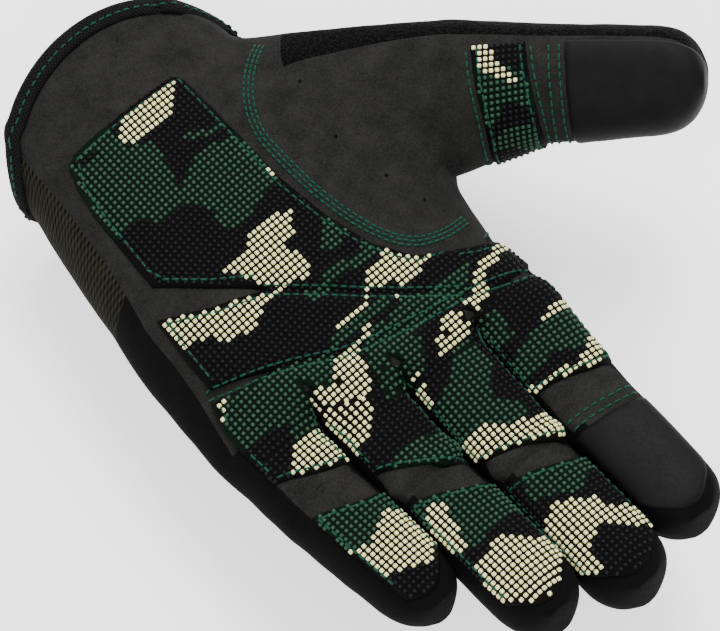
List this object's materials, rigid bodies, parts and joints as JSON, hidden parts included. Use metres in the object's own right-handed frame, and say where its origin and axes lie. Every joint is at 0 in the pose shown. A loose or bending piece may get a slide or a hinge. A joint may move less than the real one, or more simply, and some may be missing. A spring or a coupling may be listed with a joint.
{
  "type": "training glove",
  "caption": "Full-finger training glove for the left hand with dotted grip patches, smooth touch pads, bending fingers and a hook-and-loop wrist tab.",
  "frame": {"origin": "centre of the wrist opening, which the wearer's wrist fills", "axes": "+Y from the wrist to the fingertips, +Z out of the palm, thumb at -X"},
  "size_m": [0.1689, 0.2141, 0.0625],
  "materials": {
    "binding": "black binding tape",
    "camo": "printed grip dots on cloth, woodland pattern",
    "hook": "black hook and loop",
    "knit": "olive-black fine woven fabric",
    "stretch": "black stretch weave",
    "suede": "matt synthetic suede, dark grey",
    "terry": "black terry",
    "touch": "smooth black synthetic leather, slightly glossy"
  },
  "bodies": {
    "root": {"palm_panel": "suede", "back_panel": "knit", "outer_side_panel": "stretch", "heel_grip": "camo", "middle_grip": "camo", "knuckle_grip": "camo", "hem_binding": "binding", "loop_patch": "hook", "thumb_root_front": "suede", "thumb_root_back": "terry", "thumb_base_crease": "suede", "index_knuckle_crease": "suede", "middle_knuckle_crease": "suede", "ring_knuckle_crease": "suede", "little_knuckle_crease": "suede"},
    "index_lower": {"index_lower_front": "suede", "index_lower_back": "knit", "index_lower_wall_outer": "stretch", "index_lower_wall_inner": "stretch", "index_lower_grip": "camo", "index_middle_crease": "suede"},
    "index_tip": {"index_touch_pad": "touch", "index_tip_back": "knit", "index_tip_wall": "stretch"},
    "middle_lower": {"middle_lower_front": "suede", "middle_lower_back": "knit", "middle_lower_wall_outer": "stretch", "middle_lower_wall_inner": "stretch", "middle_lower_grip": "camo", "middle_middle_crease": "suede"},
    "middle_tip": {"middle_tip_grip": "camo", "middle_tip_back": "knit", "middle_tip_wall": "stretch"},
    "ring_lower": {"ring_lower_front": "suede", "ring_lower_back": "knit", "ring_lower_wall_outer": "stretch", "ring_lower_wall_inner": "stretch", "ring_lower_grip": "camo", "ring_middle_crease": "suede"},
    "ring_tip": {"ring_tip_grip": "camo", "ring_tip_back": "knit", "ring_tip_wall": "stretch"},
    "little_lower": {"little_lower_front": "suede", "little_lower_back": "knit", "little_lower_wall_outer": "stretch", "little_lower_wall_inner": "stretch", "little_lower_grip": "camo", "little_middle_crease": "suede"},
    "little_tip": {"little_tip_grip": "camo", "little_tip_back": "knit", "little_tip_wall": "stretch"},
    "thumb_lower": {"thumb_lower_front": "suede", "thumb_lower_back": "terry", "thumb_band": "camo", "thumb_middle_crease": "suede"},
    "thumb_tip": {"thumb_touch_pad": "touch", "thumb_tip_back": "terry"},
    "wrist_tab": {"wrist_tab": "binding", "hook_patch": "hook"}
  },
  "joints": [
    {"name": "index_knuckle_bend", "type": "hinge", "parent": "root", "child": "index_lower", "pos_m": [-0.04, 0.1054, 0], "axis": [0.9962, -0.0872, 0], "range_deg": [-15, 60]},
    {"name": "index_middle_bend", "type": "hinge", "parent": "index_lower", "child": "index_tip", "pos_m": [-0.03643, 0.14619, 0.00215], "axis": [0.9962, -0.0872, 0], "range_deg": [-10, 65]},
    {"name": "middle_knuckle_bend", "type": "hinge", "parent": "root", "child": "middle_lower", "pos_m": [-0.0143, 0.1052, 0], "axis": [0.998, -0.0628, 0], "range_deg": [-15, 60]},
    {"name": "middle_middle_bend", "type": "hinge", "parent": "middle_lower", "child": "middle_tip", "pos_m": [-0.01154, 0.14905, 0.0023], "axis": [0.998, -0.0628, 0], "range_deg": [-10, 65]},
    {"name": "ring_knuckle_bend", "type": "hinge", "parent": "root", "child": "ring_lower", "pos_m": [0.0089, 0.0996, 0], "axis": [0.9993, -0.0384, 0], "range_deg": [-15, 60]},
    {"name": "ring_middle_bend", "type": "hinge", "parent": "ring_lower", "child": "ring_tip", "pos_m": [0.01032, 0.13652, 0.00194], "axis": [0.9993, -0.0384, 0], "range_deg": [-10, 65]},
    {"name": "little_knuckle_bend", "type": "hinge", "parent": "root", "child": "little_lower", "pos_m": [0.0343, 0.0956, 0], "axis": [0.9993, 0.0384, 0], "range_deg": [-15, 60]},
    {"name": "little_middle_bend", "type": "hinge", "parent": "little_lower", "child": "little_tip", "pos_m": [0.03332, 0.12105, 0.00134], "axis": [0.9993, 0.0384, 0], "range_deg": [-10, 65]},
    {"name": "thumb_base_bend", "type": "hinge", "parent": "root", "child": "thumb_lower", "pos_m": [-0.0685, 0.0574, 0.013], "axis": [0.5143, 0.6444, -0.566], "range_deg": [-10, 30]},
    {"name": "thumb_middle_bend", "type": "hinge", "parent": "thumb_lower", "child": "thumb_tip", "pos_m": [-0.08545, 0.07459, 0.01717], "axis": [0.5143, 0.6444, -0.566], "range_deg": [-10, 40]},
    {"name": "wrist_tab_peel", "type": "hinge", "parent": "root", "child": "wrist_tab", "pos_m": [0.019, 0.021, -0.02266], "axis": [0, -1, 0], "range_deg": [0, 120]}
  ]
}
